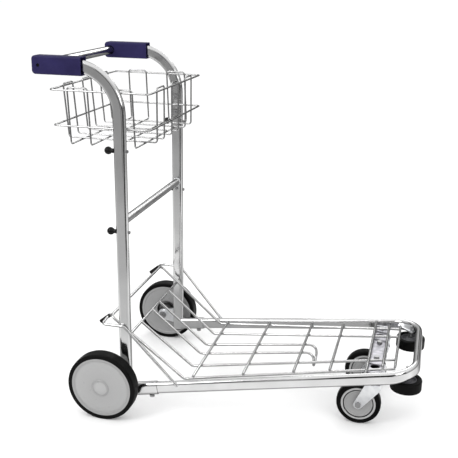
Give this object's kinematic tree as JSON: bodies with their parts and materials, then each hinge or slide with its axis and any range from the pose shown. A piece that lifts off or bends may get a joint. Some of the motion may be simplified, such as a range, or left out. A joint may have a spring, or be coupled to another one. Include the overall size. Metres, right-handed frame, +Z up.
{
  "type": "luggage cart",
  "caption": "Wheeled luggage cart with bent tube uprights, side hand grips, a wire basket, a sloping wire deck, fixed rear wheels, front casters and corner bumper rollers.",
  "frame": {"origin": "on the ground, under the middle of the whole cart", "axes": "+X forward, +Y to the cart's left, +Z up"},
  "size_m": [1.049, 0.6062, 1.0055],
  "materials": {
    "chrome_tube": "bright, fine polishing lines",
    "chrome_wire": "bright",
    "zinc_steel": "zinc plated, satin",
    "fastener_steel": "zinc plated, satin",
    "grip_plastic": "fine moulded grain",
    "black_plastic": "smooth",
    "wheel_plastic": "smooth, lightly scuffed",
    "caster_plastic": "smooth",
    "bumper_plastic": "smooth",
    "tyre_rubber": "matte"
  },
  "bodies": {
    "cart_frame": {"axle_brackets": "zinc_steel", "axle_clips": "fastener_steel", "axle_nuts": "fastener_steel", "basket_band": "chrome_wire", "basket_cross_loops": "chrome_wire", "basket_long_loops": "chrome_wire", "basket_rim": "chrome_wire", "basket_screws": "fastener_steel", "basket_tabs": "chrome_wire", "brace_brackets": "chrome_tube", "brace_screws": "fastener_steel", "brace_tube": "chrome_tube", "bumper_bolts": "fastener_steel", "bumper_lugs": "zinc_steel", "caster_beam": "zinc_steel", "caster_mounts": "zinc_steel", "deck_cross_wires": "chrome_wire", "deck_hairpin": "chrome_wire", "deck_hoop": "chrome_wire", "deck_long_wires": "chrome_wire", "deck_top_bar": "chrome_wire", "foot_plugs": "black_plastic", "grip_left": "grip_plastic", "grip_right": "grip_plastic", "grip_screws": "fastener_steel", "handle_crossbar": "chrome_tube", "kingpins": "zinc_steel", "knob_bolts": "fastener_steel", "knobs": "black_plastic", "mount_bolts": "fastener_steel", "platform_rail": "chrome_tube", "rail_sockets": "chrome_tube", "socket_bolts": "fastener_steel", "stay_rods": "chrome_wire", "stop_sleeves": "black_plastic", "upright_left": "chrome_tube", "upright_right": "chrome_tube", "wheel_axles": "fastener_steel"},
    "rear_wheel_right": {"wheel_disc_right": "wheel_plastic", "wheel_tyre_right": "tyre_rubber", "hub_cap_right": "wheel_plastic", "wheel_bearings_right": "fastener_steel"},
    "caster_fork_right": {"fork_right": "zinc_steel", "caster_pin_right": "fastener_steel"},
    "caster_wheel_right": {"caster_hub_right": "caster_plastic", "caster_bush_right": "black_plastic", "caster_tyre_right": "tyre_rubber"},
    "bumper_roller_right": {"bumper_hub_right": "bumper_plastic", "bumper_tyre_right": "tyre_rubber"},
    "rear_wheel_left": {"wheel_disc_left": "wheel_plastic", "wheel_tyre_left": "tyre_rubber", "hub_cap_left": "wheel_plastic", "wheel_bearings_left": "fastener_steel"},
    "caster_fork_left": {"fork_left": "zinc_steel", "caster_pin_left": "fastener_steel"},
    "caster_wheel_left": {"caster_hub_left": "caster_plastic", "caster_bush_left": "black_plastic", "caster_tyre_left": "tyre_rubber"},
    "bumper_roller_left": {"bumper_hub_left": "bumper_plastic", "bumper_tyre_left": "tyre_rubber"}
  },
  "joints": [
    {"name": "rear_wheel_right_spin", "type": "hinge", "parent": "cart_frame", "child": "rear_wheel_right", "pos_m": [-0.3455, -0.279, 0.1], "axis": [0, 1, 0], "continuous": true},
    {"name": "caster_right_swivel", "type": "hinge", "parent": "cart_frame", "child": "caster_fork_right", "pos_m": [0.3945, -0.1028, 0.15], "axis": [0, 0, 1], "continuous": true},
    {"name": "caster_right_roll", "type": "hinge", "parent": "caster_fork_right", "child": "caster_wheel_right", "pos_m": [0.3565, -0.1028, 0.0628], "axis": [0, 1, 0], "continuous": true},
    {"name": "bumper_right_spin", "type": "hinge", "parent": "cart_frame", "child": "bumper_roller_right", "pos_m": [0.482, -0.134, 0.15625], "axis": [0, 0, 1], "continuous": true},
    {"name": "rear_wheel_left_spin", "type": "hinge", "parent": "cart_frame", "child": "rear_wheel_left", "pos_m": [-0.3455, 0.279, 0.1], "axis": [0, 1, 0], "continuous": true},
    {"name": "caster_left_swivel", "type": "hinge", "parent": "cart_frame", "child": "caster_fork_left", "pos_m": [0.3945, 0.1028, 0.15], "axis": [0, 0, 1], "continuous": true},
    {"name": "caster_left_roll", "type": "hinge", "parent": "caster_fork_left", "child": "caster_wheel_left", "pos_m": [0.3565, 0.1028, 0.0628], "axis": [0, 1, 0], "continuous": true},
    {"name": "bumper_left_spin", "type": "hinge", "parent": "cart_frame", "child": "bumper_roller_left", "pos_m": [0.482, 0.134, 0.15625], "axis": [0, 0, 1], "continuous": true}
  ]
}
